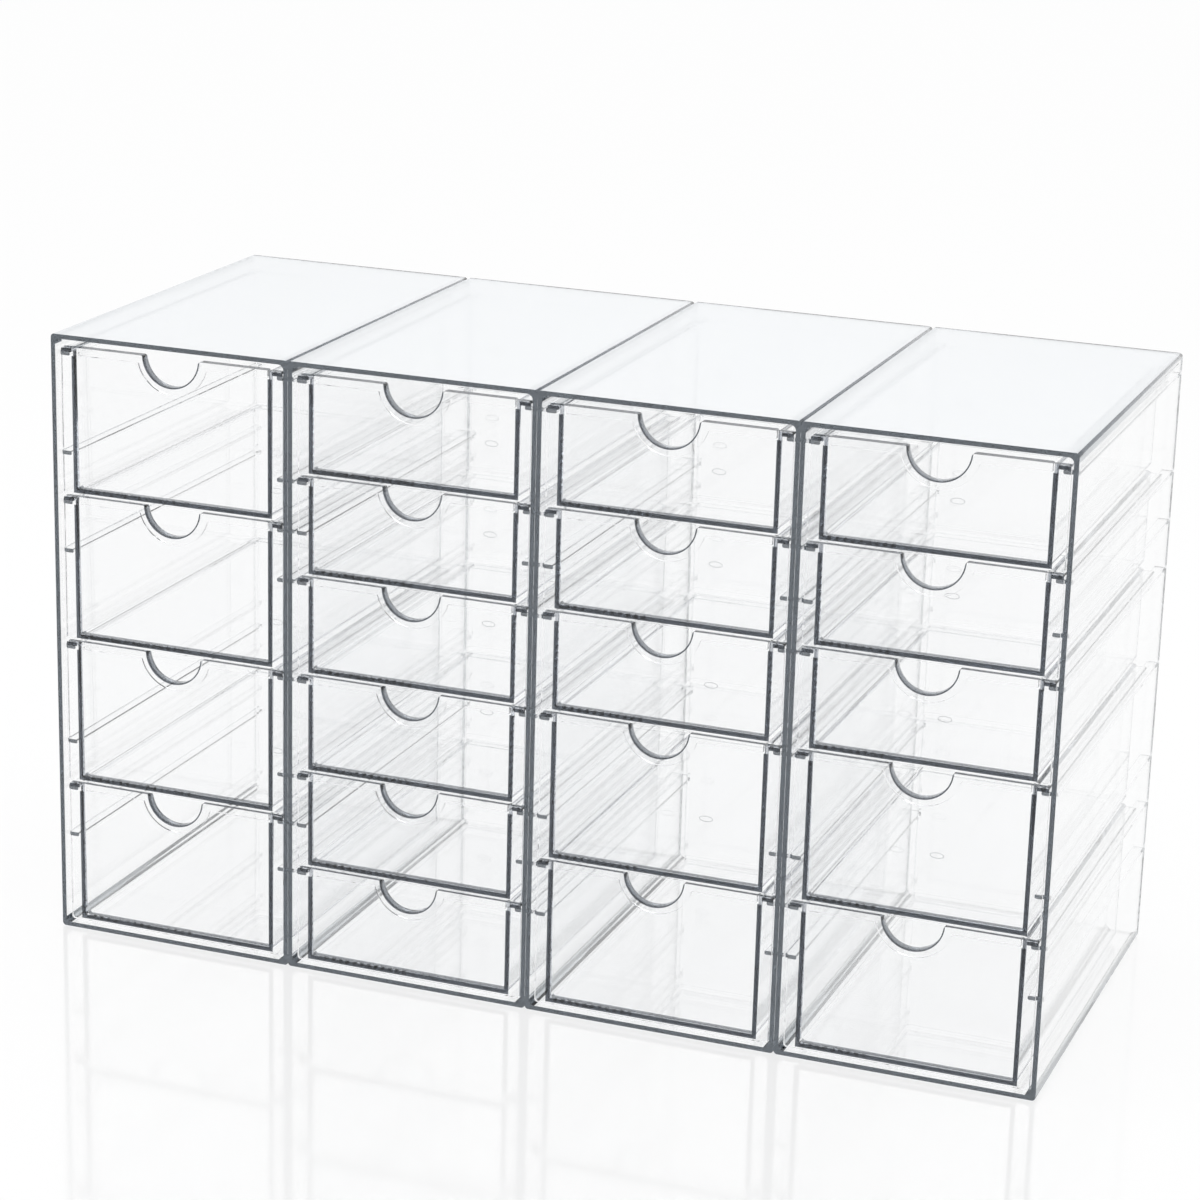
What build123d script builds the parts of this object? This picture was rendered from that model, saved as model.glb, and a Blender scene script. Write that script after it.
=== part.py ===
from build123d import *
from math import radians, tan
import os

# Craft stamp storage drawers: four identical clear casings side by side,
# holding twenty one-piece drawers. Millimetres, +Z up, origin at the middle
# of the floor face of the row, drawer fronts toward -Y.

# ---------------------------------------------------------------- casing
casing_width = 138.0
casing_depth = 235.0
casing_height = 335.0
casing_wall = 2.5
casing_back = 2.5
casing_outer_radius = 2.0
casing_inner_radius = 3.0
casing_spacing = 0.1

# ------------------------------------------------------------ drawer rows
front_gap = 1.0
floor_gap = 1.2
top_gap = 4.6
travel_clearance = 0.3
front_recess = 3.0
side_gap = 1.8
back_gap = 14.0

# ----------------------------------------------------------------- drawer
front_thickness = 2.4
front_corner_cut = 1.0
tub_wall = 2.2
tub_floor = 2.2
tub_draft = 0.4
tub_corner_radius = 4.0
tub_bottom_cut = 2.0
tub_inside_corner_cut = 1.4
tub_inside_bottom_cut = 1.0
tub_drop = 0.6
tub_lift = 1.1
flange_wall_gap = 2.0
flange_thickness = 2.0
flange_cut = 0.6

# ------------------------------------------------------------ finger notch
notch_radius = 16.0
notch_depth = 15.5
notch_corner_radius = 1.5
lip_width = 4.6
lip_thickness = 2.4
lip_end_gap = 1.0

# ------------------------------------------------------------------- rails
rail_reach = 6.0
rail_thickness = 2.2
rail_cut = 0.5
rail_tub_gap = 2.0

# ------- drawers in each casing, top to bottom, by their share of its height
tall = 3
short = 2
columns = (
    (tall, tall, tall, tall),
    (short, short, short, short, short, short),
    (short, short, short, tall, tall),
    (short, short, short, tall, tall),
)

# ---------------------------------------------------------- derived values
inner_width = casing_width - 2 * casing_wall
inner_height = casing_height - 2 * casing_wall
casing_front = -casing_depth / 2
inner_back = casing_depth / 2 - casing_back
front_face = casing_front + front_recess
front_back = front_face + front_thickness
rail_front = front_back + travel_clearance
rail_length = inner_back - rail_front
tub_back = inner_back - back_gap
tub_length = tub_back - front_back
front_width = inner_width - 2 * side_gap
tub_width = inner_width - 2 * (rail_reach + rail_tub_gap)
flange_width = (inner_width - tub_width) / 2 - flange_wall_gap
rows_height = inner_height - floor_gap - top_gap + front_gap
rows_bottom = casing_wall + floor_gap - front_gap / 2
rows_top = rows_bottom + rows_height
rail_top_drop = front_gap / 2 + tub_drop + flange_thickness + travel_clearance
rail_room = rail_thickness + flange_thickness + 2 * travel_clearance
casing_pitch = casing_width + casing_spacing
row_start = -casing_pitch * (len(columns) - 1) / 2
notch_rise = notch_radius - notch_depth
lip_top_width = tub_width - 2 * (tub_wall + lip_end_gap)


def row_drops(rows):
    """How far the top of each row lies below the top of the first one."""
    return [rows_height * sum(rows[:row]) / sum(rows) for row in range(len(rows))]


def rail_drops(rows):
    """The rows' own rails, and those of the other casings wherever they stay clear of these."""
    drops = row_drops(rows)
    for other_rows in columns:
        for drop in row_drops(other_rows):
            if min(abs(drop - kept) for kept in drops) > rail_room:
                drops.append(drop)
    return drops


def make_casing(name, x_middle, rows):
    """Open-fronted box with the same eight rails moulded on both inner side walls."""
    with BuildPart() as casing:
        with BuildSketch(Plane.XZ.offset(-casing_front)):
            with Locations((x_middle, casing_height / 2)):
                RectangleRounded(casing_width, casing_height, casing_outer_radius)
        extrude(amount=-casing_depth)
        with BuildSketch(Plane.XZ.offset(-casing_front)):
            with Locations((x_middle, casing_height / 2)):
                RectangleRounded(inner_width, inner_height, casing_inner_radius)
        extrude(amount=-(casing_depth - casing_back), mode=Mode.SUBTRACT)

        # rails rooted in the side walls and in the back
        for side in (-1, 1):
            wall_face = x_middle + side * inner_width / 2
            tip = wall_face - side * rail_reach
            root = wall_face + side * casing_wall / 2
            for drop in rail_drops(rows):
                rail_top = rows_top - drop - rail_top_drop
                rail_low = rail_top - rail_thickness
                with BuildSketch(Plane.XZ.offset(-rail_front)):
                    with BuildLine():
                        Polyline(
                            (root, rail_low),
                            (tip + side * rail_cut, rail_low),
                            (tip, rail_low + rail_cut),
                            (tip, rail_top - rail_cut),
                            (tip + side * rail_cut, rail_top),
                            (root, rail_top),
                            close=True,
                        )
                    make_face()
                extrude(amount=-rail_length)
    casing.part.label = name
    return casing.part


def make_tub_block(x_middle, top, low, width, front, back, corner_radius, corner_cut, bottom_cut):
    """Block with drafted sides and back, cut lower edges, and rounded or cut back corners."""
    height = top - low
    lean = height * tan(radians(tub_draft))
    middle_y = (front + back) / 2
    with BuildPart(mode=Mode.PRIVATE) as block:
        # section seen from the front
        with BuildSketch(Plane.XZ.offset(-front)) as front_view:
            with BuildLine():
                Polyline(
                    (x_middle - width / 2, top),
                    (x_middle - width / 2 + lean, low),
                    (x_middle + width / 2 - lean, low),
                    (x_middle + width / 2, top),
                    close=True,
                )
            make_face()
            chamfer(front_view.vertices().sort_by(Axis.Y)[:2], length=bottom_cut)
        extrude(amount=-(back - front))
        # outline seen from above, with its two back corners
        with BuildSketch(Plane.XY.offset(low)) as top_view:
            with Locations((x_middle, middle_y)):
                Rectangle(width, back - front)
            corners = top_view.vertices().sort_by(Axis.Y)[-2:]
            if corner_radius:
                fillet(corners, radius=corner_radius)
            else:
                chamfer(corners, length=corner_cut)
        extrude(amount=height, mode=Mode.INTERSECT)
        # outline seen from the side, with the leaning back wall
        with BuildSketch(Plane.YZ.offset(x_middle - width / 2)) as side_view:
            with BuildLine():
                Polyline(
                    (front, top),
                    (front, low),
                    (back - lean, low),
                    (back, top),
                    close=True,
                )
            make_face()
            foot = side_view.vertices().sort_by(Axis.Y)[:2].sort_by(Axis.X)[-1]
            chamfer(foot, length=bottom_cut)
        extrude(amount=width, mode=Mode.INTERSECT)
    return block.part


def make_drawer(name, x_middle, row_top, row_height):
    """One-piece drawer: flat front with a lipped notch, drafted tub, side flanges."""
    front_height = row_height - front_gap
    front_top = row_top - front_gap / 2
    front_low = front_top - front_height
    tub_top = front_top - tub_drop
    tub_low = front_low + tub_lift
    flange_low = tub_top - flange_thickness
    flange_length = tub_length - tub_corner_radius

    outer = make_tub_block(
        x_middle, tub_top, tub_low, tub_width, front_back, tub_back,
        tub_corner_radius, 0, tub_bottom_cut,
    )
    inner = make_tub_block(
        x_middle, tub_top, tub_low + tub_floor, tub_width - 2 * tub_wall, front_back,
        tub_back - tub_wall, 0, tub_inside_corner_cut, tub_inside_bottom_cut,
    )
    with BuildPart() as drawer:
        add(outer)
        add(inner, mode=Mode.SUBTRACT)

        # flanges along the tops of both side walls
        for side in (-1, 1):
            root = x_middle + side * (tub_width / 2 - tub_wall / 2)
            tip = x_middle + side * (tub_width / 2 + flange_width)
            with BuildSketch(Plane.XZ.offset(-front_back)):
                with BuildLine():
                    Polyline(
                        (root, flange_low),
                        (tip - side * flange_cut, flange_low),
                        (tip, flange_low + flange_cut),
                        (tip, tub_top - flange_cut),
                        (tip - side * flange_cut, tub_top),
                        (root, tub_top),
                        close=True,
                    )
                make_face()
            extrude(amount=-flange_length)

        # flat front plate
        with BuildSketch(Plane.XZ.offset(-front_face)) as plate:
            with Locations((x_middle, front_low + front_height / 2)):
                Rectangle(front_width, front_height)
            chamfer(plate.vertices(), length=front_corner_cut)
        extrude(amount=-front_thickness)

        # lip behind the plate, along its top edge and round the notch
        with BuildSketch(Plane.XZ.offset(-front_back)):
            with Locations((x_middle, front_top - lip_width / 2)):
                Rectangle(lip_top_width, lip_width)
            with Locations((x_middle, front_top + notch_rise)):
                Circle(notch_radius + lip_width)
            with Locations((x_middle, front_top + notch_radius)):
                Rectangle(front_width, 2 * notch_radius, mode=Mode.SUBTRACT)
        extrude(amount=-lip_thickness)

        # finger notch with rounded upper corners
        with BuildSketch(Plane.XZ.offset(-front_face)) as notch:
            with Locations((x_middle, front_top + notch_rise)):
                Circle(notch_radius)
            with Locations((x_middle, front_top + notch_radius)):
                Rectangle(4 * notch_radius, 2 * notch_radius)
            mouth = notch.vertices().group_by(Axis.Y)[-2].sort_by(Axis.X)[1:-1]
            fillet(mouth, radius=notch_corner_radius)
        extrude(amount=-(front_thickness + lip_thickness), mode=Mode.SUBTRACT)
    drawer.part.label = name
    return drawer.part


os.makedirs("parts", exist_ok=True)

for column, rows in enumerate(columns):
    x_column = row_start + column * casing_pitch
    casing_name = f"casing_{column + 1}"
    export_step(make_casing(casing_name, x_column, rows), f"parts/{casing_name}.step")
    for row, drop in enumerate(row_drops(rows)):
        size_name = "tall" if rows[row] == tall else "short"
        drawer_name = f"{size_name}_drawer_{column + 1}_{row + 1}"
        row_height = rows_height * rows[row] / sum(rows)
        drawer = make_drawer(drawer_name, x_column, rows_top - drop, row_height)
        export_step(drawer, f"parts/{drawer_name}.step")
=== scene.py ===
import math

import bpy
from mathutils import Matrix, Vector


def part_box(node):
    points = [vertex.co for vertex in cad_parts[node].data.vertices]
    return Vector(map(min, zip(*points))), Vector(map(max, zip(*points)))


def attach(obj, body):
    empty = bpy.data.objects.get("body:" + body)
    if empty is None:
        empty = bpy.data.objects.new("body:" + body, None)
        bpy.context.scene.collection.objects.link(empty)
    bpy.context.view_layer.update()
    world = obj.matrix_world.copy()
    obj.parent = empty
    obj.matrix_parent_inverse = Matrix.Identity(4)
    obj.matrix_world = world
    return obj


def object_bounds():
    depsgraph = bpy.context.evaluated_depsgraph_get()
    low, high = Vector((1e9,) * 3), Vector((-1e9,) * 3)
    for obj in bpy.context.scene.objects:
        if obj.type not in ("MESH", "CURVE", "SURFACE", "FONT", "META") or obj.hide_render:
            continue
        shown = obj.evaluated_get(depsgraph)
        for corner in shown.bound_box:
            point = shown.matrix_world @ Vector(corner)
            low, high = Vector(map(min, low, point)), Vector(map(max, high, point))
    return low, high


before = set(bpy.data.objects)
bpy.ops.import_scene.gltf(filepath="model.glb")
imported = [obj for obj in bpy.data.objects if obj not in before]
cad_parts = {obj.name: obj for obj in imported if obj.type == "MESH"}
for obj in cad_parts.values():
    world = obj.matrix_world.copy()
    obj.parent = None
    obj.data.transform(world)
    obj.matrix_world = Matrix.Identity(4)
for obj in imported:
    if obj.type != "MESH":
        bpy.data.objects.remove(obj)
cad_box = [list(corner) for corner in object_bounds()]

# ------------------------------------------------------------------ camera
CAMERA_TARGET = Vector((0.0363, -0.1175, 0.2303))
CAMERA_AZIMUTH = math.radians(20.55)
CAMERA_ELEVATION = math.radians(17.10)
CAMERA_ROLL = math.radians(1.57)
CAMERA_DISTANCE = 1.7375
PHOTO_SIDE = 1200
FOCAL_PIXELS = 3446.0
SENSOR = 36.0

# ----------------------------------------------------------------- casings
CASING_ROUND = 0.002
CASING_TOP = cad_box[1][2]
TOP_FACE_DEPTH = 0.001
TOP_LINE = 0.0015
RAIL_START = 0.007

# ----------------------------------------------------------------- drawers
DRAWER_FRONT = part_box("tall_drawer_1_1")[0][1]
FRONT_SKIN = 0.0005
TUB_HALF_WIDTH = 0.0585
TUB_WALL = 0.0022
TUB_DRAFT = math.radians(0.4)
TUB_FOOT = 0.0011
TUB_DROP = 0.0006
WALL_END = 0.0024
FLANGE_THICKNESS = 0.002
LIP_WIDTH = 0.0046
NOTCH_DEPTH = 0.0055
NOTCH_RISE = 0.0005
NOTCH_OUTLINE = 0.0167

# ---------------------------------------- oval mould mark on a tub's back wall
MARK_OFFSET = 0.012
MARK_SHARE = 0.35
MARK_HALF_WIDTH = 0.0040
MARK_HALF_HEIGHT = 0.0016
MARK_RADIUS = 0.00022
MARK_SEAT = 0.5
MARK_ROUNDS = 32
MARK_SIDES = 6

# ---------------------------------------------------------- small moulded edges
WELD_DISTANCE = 0.000002
EDGE_ROUND = 0.0004
EDGE_SEGMENTS = 2
EDGE_ANGLE = math.radians(50)

# ------------------------------------------------------------ clear plastic
PLASTIC_IOR = 1.5
CLEAR_TINT = (0.998, 0.999, 1.0)
FLOW_TINT = tuple(channel * 0.996 for channel in CLEAR_TINT)
FLOW_SCALE = 9.0
FLOW_DETAIL = 2.0
FLOW_RANGE = (0.3, 0.7)
WAVINESS = 0.05
WAVE_HEIGHT = 0.0006
SHADOW_TINT = (0.990, 0.992, 0.994)
ABSORB_DENSITY = 4.0
CASING_ABSORB = (0.30, 0.36, 0.40)
DRAWER_ABSORB = (0.28, 0.32, 0.38)
# painted light on the clear casing tops: a white diffuse layer and its share
TOP_PAINTED_LIGHT = (0.74, 0.755, 0.77)
TOP_PAINTED_LIGHT_SHARE = 0.75
# painted shade on the casings' front rims and rail ends
RIM_PAINTED_SHADE = (0.045, 0.053, 0.064)
# painted shade on the rounded top edges and the line along the back edge
TOP_EDGE_PAINTED_SHADE = (0.14, 0.15, 0.17)
# painted shade on the walls of the drawers' finger notches
NOTCH_PAINTED_SHADE = (0.07, 0.08, 0.095)
# painted shade on the drawer fronts where walls, floor and flanges end behind them, and round the notch
WALL_END_PAINTED_SHADE = (0.012, 0.015, 0.020)
# painted shade on the mould marks' rings
MARK_PAINTED_SHADE = (0.30, 0.31, 0.33)

# ------------------------------------------------------------------ studio
WHITE = (1, 1, 1, 1)
FLOOR_HALF = 12.0
FLOOR_DROP = 0.0002
FLOOR_MATT = (0.9, 0.9, 0.9, 1)
FLOOR_PLAIN_SHARE = 0.86
FLOOR_SHINE_SHARE = 0.16
FLOOR_SHINE_ROUGHNESS = 0.08
WORLD_FRONT = (0.96, 0.963, 0.967, 1)
WORLD_RANGE = (0.18, 0.48)
SOFTBOX_PLACE = (0.1, -0.2, 1.6)
SOFTBOX_AIM = (0, 0, 0.2)
SOFTBOX_SIZE = (1.6, 1.2)
SOFTBOX_WATTS = 6


def add_camera():
    """Camera at the photograph's viewing angle, from numbers fitted to the corners of the casings."""
    back = Vector((
        math.sin(CAMERA_AZIMUTH) * math.cos(CAMERA_ELEVATION),
        -math.cos(CAMERA_AZIMUTH) * math.cos(CAMERA_ELEVATION),
        math.sin(CAMERA_ELEVATION),
    ))
    right = (-back).cross(Vector((0, 0, 1))).normalized()
    up = right.cross(-back)
    rolled_right = right * math.cos(CAMERA_ROLL) + up * math.sin(CAMERA_ROLL)
    rolled_up = up * math.cos(CAMERA_ROLL) - right * math.sin(CAMERA_ROLL)
    turn = Matrix((rolled_right, rolled_up, back)).transposed().to_4x4()
    data = bpy.data.cameras.new("camera")
    data.sensor_fit = "HORIZONTAL"
    data.sensor_width = SENSOR
    data.lens = FOCAL_PIXELS / PHOTO_SIDE * SENSOR
    data.clip_end = 50
    camera = bpy.data.objects.new("camera", data)
    camera.matrix_world = Matrix.Translation(CAMERA_TARGET + back * CAMERA_DISTANCE) @ turn
    bpy.context.scene.collection.objects.link(camera)
    bpy.context.scene.camera = camera


# ------------------------------------------------------------ node helpers
def new_material(name):
    """Empty node material."""
    material = bpy.data.materials.new(name)
    material.use_nodes = True
    tree = material.node_tree
    tree.nodes.clear()
    return material, tree


def coordinates(tree, kind):
    """X, Y and Z of the shader's Normal, Object or Generated coordinates."""
    coords = tree.nodes.new("ShaderNodeTexCoord")
    split = tree.nodes.new("ShaderNodeSeparateXYZ")
    tree.links.new(coords.outputs[kind], split.inputs["Vector"])
    return split.outputs


def compute(tree, operation, *values):
    """Math node on sockets or plain numbers."""
    node = tree.nodes.new("ShaderNodeMath")
    node.operation = operation
    for index, value in enumerate(values):
        if isinstance(value, bpy.types.NodeSocket):
            tree.links.new(value, node.inputs[index])
        else:
            node.inputs[index].default_value = value
    return node.outputs["Value"]


def every(tree, *masks):
    """1 where each of the masks is 1."""
    result = masks[0]
    for mask in masks[1:]:
        result = compute(tree, "MULTIPLY", result, mask)
    return result


def blend_shaders(tree, share, first, second):
    """The first shader, with the given share of the second."""
    mix = tree.nodes.new("ShaderNodeMixShader")
    if isinstance(share, bpy.types.NodeSocket):
        tree.links.new(share, mix.inputs["Fac"])
    else:
        mix.inputs["Fac"].default_value = share
    tree.links.new(first, mix.inputs[1])
    tree.links.new(second, mix.inputs[2])
    return mix.outputs["Shader"]


# ---------------------------------------------- masks of the painted light and shade
def top_face_mask(tree):
    """1 on the outer top faces of the casings, up to the line along their back edge, where the light is
    painted.
    """
    place = coordinates(tree, "Object")
    upward = compute(tree, "GREATER_THAN", coordinates(tree, "Normal")["Z"], 0.9)
    high = compute(tree, "GREATER_THAN", place["Z"], CASING_TOP - TOP_FACE_DEPTH)
    off_line = compute(tree, "LESS_THAN", place["Y"], cad_box[1][1] - TOP_LINE)
    return every(tree, upward, high, off_line)


def top_edge_shade_mask(tree):
    """1 on the rounded edges of the outer top faces and on the line along their back edge, which get
    painted shade.
    """
    normal = coordinates(tree, "Normal")
    place = coordinates(tree, "Object")
    high = compute(tree, "GREATER_THAN", place["Z"], CASING_TOP - CASING_ROUND)
    leaning = compute(tree, "GREATER_THAN", normal["Z"], 0.15)
    slanted = compute(tree, "LESS_THAN", normal["Z"], 0.9)
    on_line = compute(tree, "GREATER_THAN", place["Y"], cad_box[1][1] - TOP_LINE)
    return every(tree, high, leaning, compute(tree, "MAXIMUM", slanted, on_line))


def rim_shade_mask(tree):
    """1 on the front rims of the casings and on the front ends of their rails, which get painted shade."""
    forward = compute(tree, "LESS_THAN", coordinates(tree, "Normal")["Y"], -0.1)
    front = compute(tree, "LESS_THAN", coordinates(tree, "Object")["Y"], cad_box[0][1] + RAIL_START)
    return every(tree, forward, front)


def notch_wall_shade_mask(tree):
    """1 on the upward leaning faces at the front of a drawer, which are the walls of its notch and get
    painted shade.
    """
    leaning = compute(tree, "GREATER_THAN", coordinates(tree, "Normal")["Z"], 0.04)
    front = compute(tree, "LESS_THAN", coordinates(tree, "Object")["Y"], DRAWER_FRONT + NOTCH_DEPTH)
    return every(tree, leaning, front)


def tub_end_mask(tree, off_middle, rise, width, height):
    """1 on a front where the tub's side walls and floor end behind it."""
    in_width = compute(tree, "LESS_THAN", off_middle, TUB_HALF_WIDTH / width)
    over_foot = compute(tree, "GREATER_THAN", rise, TUB_FOOT / height)
    under_lip = compute(tree, "LESS_THAN", rise, 1 - LIP_WIDTH / height)
    in_hollow = compute(tree, "LESS_THAN", off_middle, (TUB_HALF_WIDTH - WALL_END) / width)
    over_floor = compute(tree, "GREATER_THAN", rise, (TUB_FOOT + WALL_END) / height)
    off_hollow = compute(tree, "SUBTRACT", 1.0, every(tree, in_hollow, over_floor))
    return every(tree, in_width, over_foot, under_lip, off_hollow)


def flange_end_mask(tree, off_middle, rise, width, height):
    """1 on a front where the two flanges end behind it."""
    on_flange = compute(tree, "GREATER_THAN", rise, 1 - (TUB_DROP + FLANGE_THICKNESS) / height)
    under_top = compute(tree, "LESS_THAN", rise, 1 - TUB_DROP / height)
    off_tub = compute(tree, "GREATER_THAN", off_middle, TUB_HALF_WIDTH / width)
    return every(tree, on_flange, under_top, off_tub)


def notch_outline_mask(tree, off_middle, rise, width, height):
    """1 on a front along the edge of its finger notch."""
    across = compute(tree, "MULTIPLY", off_middle, width)
    up = compute(tree, "MULTIPLY_ADD", rise, height, -height - NOTCH_RISE)
    squares = compute(tree, "MULTIPLY_ADD", up, up, compute(tree, "POWER", across, 2.0))
    return compute(tree, "LESS_THAN", compute(tree, "SQRT", squares), NOTCH_OUTLINE)


def front_shade_mask(tree, width, height):
    """1 on a drawer's front where walls, floor and flanges end behind it, and round its notch: the lines of
    painted shade.
    """
    share = coordinates(tree, "Generated")
    place = (compute(tree, "ABSOLUTE", compute(tree, "SUBTRACT", share["X"], 0.5)), share["Z"])
    forward = compute(tree, "LESS_THAN", coordinates(tree, "Normal")["Y"], -0.9)
    front = compute(tree, "LESS_THAN", coordinates(tree, "Object")["Y"], DRAWER_FRONT + FRONT_SKIN)
    ends = compute(
        tree, "ADD",
        tub_end_mask(tree, *place, width, height),
        flange_end_mask(tree, *place, width, height),
    )
    outline = notch_outline_mask(tree, *place, width, height)
    return every(tree, forward, front, compute(tree, "MAXIMUM", ends, outline))


def mark_shade_mask(tree):
    """1 on a mould mark's ring, apart from its underside, where painted shade goes."""
    return compute(tree, "GREATER_THAN", coordinates(tree, "Normal")["Z"], -0.3)


# --------------------------------------------------------------- materials
def clear_plastic(name, absorb_colour, painted_shades, painted_light_mask=None):
    """Clear polystyrene that darkens along its walls, with painted shade in the given colour on each mask
    of the given pairs, and painted light on the optional top mask.
    """
    material, tree = new_material(name)
    plastic = tree.nodes.new("ShaderNodeBsdfPrincipled")
    plastic.inputs["IOR"].default_value = PLASTIC_IOR
    plastic.inputs["Transmission Weight"].default_value = 1.0
    plastic.inputs["Roughness"].default_value = 0.0

    # faint flow lines in the colour and in the surface
    coords = tree.nodes.new("ShaderNodeTexCoord")
    flow = tree.nodes.new("ShaderNodeTexNoise")
    flow.inputs["Scale"].default_value = FLOW_SCALE
    flow.inputs["Detail"].default_value = FLOW_DETAIL
    tree.links.new(coords.outputs["Object"], flow.inputs["Vector"])
    shade = tree.nodes.new("ShaderNodeValToRGB")
    for element, position, tone_and_painted_shade in zip(shade.color_ramp.elements, FLOW_RANGE, (FLOW_TINT, CLEAR_TINT)):
        element.position = position
        element.color = (*tone_and_painted_shade, 1)
    tree.links.new(flow.outputs["Fac"], shade.inputs["Fac"])
    bump = tree.nodes.new("ShaderNodeBump")
    bump.inputs["Strength"].default_value = WAVINESS
    bump.inputs["Distance"].default_value = WAVE_HEIGHT
    tree.links.new(flow.outputs["Fac"], bump.inputs["Height"])
    tree.links.new(bump.outputs["Normal"], plastic.inputs["Normal"])

    # painted shade: each mask lays its darker colour over the plastic's own tone
    colour = shade.outputs["Color"]
    for mask, tone_and_painted_shade in painted_shades:
        layer = tree.nodes.new("ShaderNodeMix")
        layer.data_type = "RGBA"
        layer.inputs["B"].default_value = (*tone_and_painted_shade, 1)
        tree.links.new(mask(tree), layer.inputs["Factor"])
        tree.links.new(colour, layer.inputs["A"])
        colour = layer.outputs["Result"]
    tree.links.new(colour, plastic.inputs["Base Color"])

    # painted light: a thin white diffuse layer over the clear casing tops stands in for the light on them
    surface = plastic.outputs["BSDF"]
    if painted_light_mask:
        top_light = tree.nodes.new("ShaderNodeBsdfDiffuse")
        top_light.inputs["Color"].default_value = (*TOP_PAINTED_LIGHT, 1)
        share = compute(tree, "MULTIPLY", painted_light_mask(tree), TOP_PAINTED_LIGHT_SHARE)
        surface = blend_shaders(tree, share, surface, top_light.outputs["BSDF"])

    # shadow rays pass nearly untouched, and light fades inside the walls
    see_through = tree.nodes.new("ShaderNodeBsdfTransparent")
    see_through.inputs["Color"].default_value = (*SHADOW_TINT, 1)
    path = tree.nodes.new("ShaderNodeLightPath")
    surface = blend_shaders(tree, path.outputs["Is Shadow Ray"], surface, see_through.outputs["BSDF"])
    body = tree.nodes.new("ShaderNodeVolumeAbsorption")
    body.inputs["Color"].default_value = (*absorb_colour, 1)
    body.inputs["Density"].default_value = ABSORB_DENSITY
    out = tree.nodes.new("ShaderNodeOutputMaterial")
    tree.links.new(surface, out.inputs["Surface"])
    tree.links.new(body.outputs["Volume"], out.inputs["Volume"])
    return material


def casing_plastic():
    """Clear plastic of the casings, with painted shade on the rims and painted light on the tops."""
    painted_shades = ((top_edge_shade_mask, TOP_EDGE_PAINTED_SHADE), (rim_shade_mask, RIM_PAINTED_SHADE))
    return clear_plastic("casing_plastic", CASING_ABSORB, painted_shades, top_face_mask)


def drawer_plastic(name, node):
    """Clear plastic for the drawers that are as large as the given one, with painted shade on the notch
    walls and the front.
    """
    low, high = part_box(node)

    def front_painted_shade(tree):
        return front_shade_mask(tree, high[0] - low[0], high[2] - low[2])

    painted_shades = ((notch_wall_shade_mask, NOTCH_PAINTED_SHADE), (front_painted_shade, WALL_END_PAINTED_SHADE))
    return clear_plastic(name, DRAWER_ABSORB, painted_shades)


def mark_plastic():
    """Plastic of the mould marks, with painted shade that makes them a little greyer than the wall round
    them.
    """
    return clear_plastic("mark_plastic", DRAWER_ABSORB, ((mark_shade_mask, MARK_PAINTED_SHADE),))


def floor_material():
    """White floor: plain white where nothing stands, a soft shadow and a faint reflection near the part."""
    material, tree = new_material("studio_floor")
    glow = tree.nodes.new("ShaderNodeEmission")
    glow.inputs["Color"].default_value = WHITE
    glow.inputs["Strength"].default_value = 1.0
    shine = tree.nodes.new("ShaderNodeBsdfGlossy")
    shine.inputs["Color"].default_value = WHITE
    shine.inputs["Roughness"].default_value = FLOOR_SHINE_ROUGHNESS
    plain = blend_shaders(tree, FLOOR_SHINE_SHARE, glow.outputs["Emission"], shine.outputs["BSDF"])
    matt = tree.nodes.new("ShaderNodeBsdfDiffuse")
    matt.inputs["Color"].default_value = FLOOR_MATT
    path = tree.nodes.new("ShaderNodeLightPath").outputs
    mirrored = compute(tree, "MAXIMUM", path["Is Glossy Ray"], path["Is Transmission Ray"])
    seen = compute(tree, "MAXIMUM", path["Is Camera Ray"], mirrored)
    share = compute(tree, "MULTIPLY", seen, FLOOR_PLAIN_SHARE)
    out = tree.nodes.new("ShaderNodeOutputMaterial")
    surface = blend_shaders(tree, share, matt.outputs["BSDF"], plain)
    tree.links.new(surface, out.inputs["Surface"])
    return material


# ------------------------------------------------------------------- stage
def add_floor():
    """Wide white floor just under the casings."""
    corners = [(-1, -1), (1, -1), (1, 1), (-1, 1)]
    mesh = bpy.data.meshes.new("floor")
    mesh.from_pydata([(x * FLOOR_HALF, y * FLOOR_HALF, 0) for x, y in corners], [], [(0, 1, 2, 3)])
    mesh.materials.append(floor_material())
    floor = bpy.data.objects.new("floor", mesh)
    floor.location.z = -FLOOR_DROP
    bpy.context.scene.collection.objects.link(floor)


def add_world():
    """White surroundings, a little dimmer in front of the drawers."""
    world = bpy.data.worlds.new("studio")
    bpy.context.scene.world = world
    world.use_nodes = True
    tree = world.node_tree
    tree.nodes.clear()
    depth = compute(tree, "MULTIPLY_ADD", coordinates(tree, "Generated")["Y"], 0.5, 0.5)
    ramp = tree.nodes.new("ShaderNodeValToRGB")
    for element, position, colour in zip(ramp.color_ramp.elements, WORLD_RANGE, (WORLD_FRONT, WHITE)):
        element.position = position
        element.color = colour
    tree.links.new(depth, ramp.inputs["Fac"])
    ground = tree.nodes.new("ShaderNodeBackground")
    ground.inputs["Strength"].default_value = 1.0
    tree.links.new(ramp.outputs["Color"], ground.inputs["Color"])
    out = tree.nodes.new("ShaderNodeOutputWorld")
    tree.links.new(ground.outputs["Background"], out.inputs["Surface"])


def add_softbox():
    """Large soft lamp over the casings."""
    data = bpy.data.lights.new("top_softbox", "AREA")
    data.shape = "RECTANGLE"
    data.size, data.size_y = SOFTBOX_SIZE
    data.energy = SOFTBOX_WATTS
    lamp = bpy.data.objects.new("top_softbox", data)
    lamp.location = SOFTBOX_PLACE
    aim = Vector(SOFTBOX_AIM) - Vector(SOFTBOX_PLACE)
    lamp.rotation_euler = aim.to_track_quat("-Z", "Y").to_euler()
    bpy.context.scene.collection.objects.link(lamp)


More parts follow.
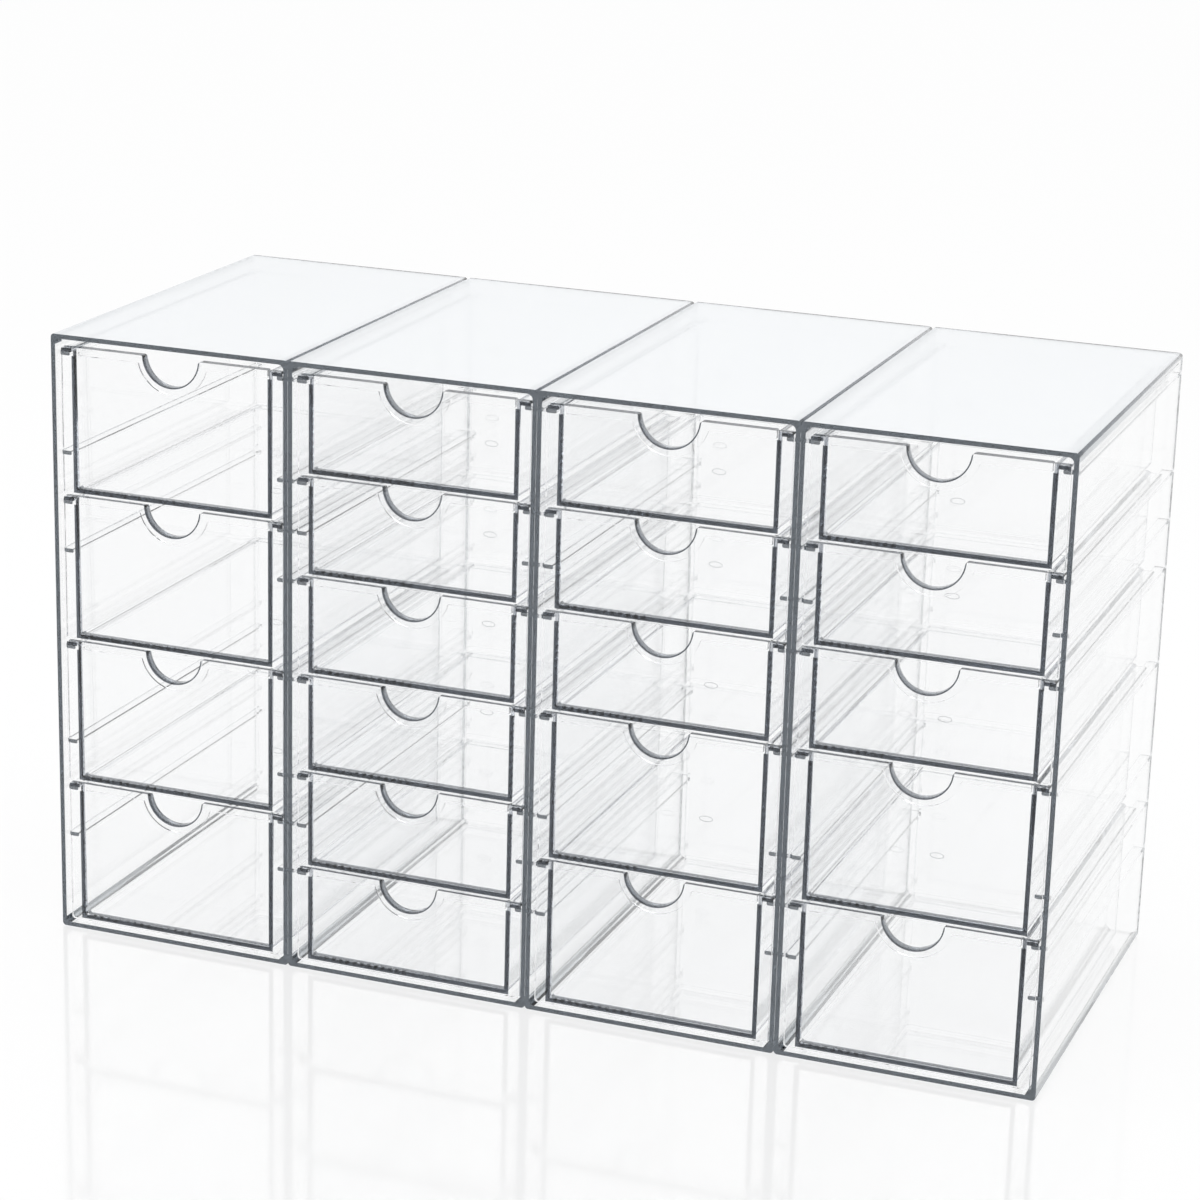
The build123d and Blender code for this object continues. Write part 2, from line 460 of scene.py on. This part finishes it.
# ---------------------------------------------------------------- dressing
def dress(node, material):
    """Give a moulding its plastic and the small rounded edges of a polished mould."""
    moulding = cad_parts[node]
    moulding.data.materials.clear()
    moulding.data.materials.append(material)
    weld = moulding.modifiers.new("joined_faces", "WELD")
    weld.merge_threshold = WELD_DISTANCE
    edge = moulding.modifiers.new("mould_edge", "BEVEL")
    edge.width = EDGE_ROUND
    edge.segments = EDGE_SEGMENTS
    edge.limit_method = "ANGLE"
    edge.angle_limit = EDGE_ANGLE


def make_oval_ring(name, centre):
    """Thin ring round an oval that faces the front."""
    points = []
    faces = []
    for turn in range(MARK_ROUNDS):
        angle = 2 * math.pi * turn / MARK_ROUNDS
        for side in range(MARK_SIDES):
            tilt = 2 * math.pi * side / MARK_SIDES
            reach = MARK_RADIUS * math.cos(tilt)
            points.append((
                centre[0] + (MARK_HALF_WIDTH + reach) * math.cos(angle),
                centre[1] - MARK_RADIUS * math.sin(tilt),
                centre[2] + (MARK_HALF_HEIGHT + reach) * math.sin(angle),
            ))
            here = turn * MARK_SIDES + side
            beside = turn * MARK_SIDES + (side + 1) % MARK_SIDES
            ahead = (here + MARK_SIDES) % (MARK_ROUNDS * MARK_SIDES)
            beside_ahead = (beside + MARK_SIDES) % (MARK_ROUNDS * MARK_SIDES)
            faces.append((here, ahead, beside_ahead, beside))
    mesh = bpy.data.meshes.new(name)
    mesh.from_pydata(points, [], faces)
    mesh.polygons.foreach_set("use_smooth", [True] * len(faces))
    return mesh


def add_mould_mark(drawer, material):
    """Small oval ring that the mould left on the inner back wall of a drawer."""
    low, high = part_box(drawer)
    height = low[2] + TUB_FOOT + TUB_WALL + MARK_SHARE * (high[2] - low[2])
    across = (low[0] + high[0]) / 2 - TUB_HALF_WIDTH + TUB_WALL + MARK_OFFSET
    wall = high[1] - TUB_WALL - (high[2] - TUB_DROP - height) * math.tan(TUB_DRAFT)
    name = f"gate_mark_{drawer}"
    mesh = make_oval_ring(name, (across, wall - MARK_SEAT * MARK_RADIUS, height))
    mesh.materials.append(material)
    mark = bpy.data.objects.new(name, mesh)
    bpy.context.scene.collection.objects.link(mark)
    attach(mark, drawer)


plastics = {
    "casing": casing_plastic(),
    "tall": drawer_plastic("tall_drawer_plastic", "tall_drawer_1_1"),
    "short": drawer_plastic("short_drawer_plastic", "short_drawer_2_1"),
}
mark_material = mark_plastic()
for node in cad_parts:
    kind = node.split("_")[0]
    dress(node, plastics[kind])
    if kind != "casing":
        add_mould_mark(node, mark_material)

add_camera()
add_world()
add_floor()
add_softbox()

scene = bpy.context.scene
scene.view_settings.view_transform = "Standard"
scene.cycles.max_bounces = 64
scene.cycles.transmission_bounces = 48
scene.cycles.glossy_bounces = 56
scene.cycles.transparent_max_bounces = 64
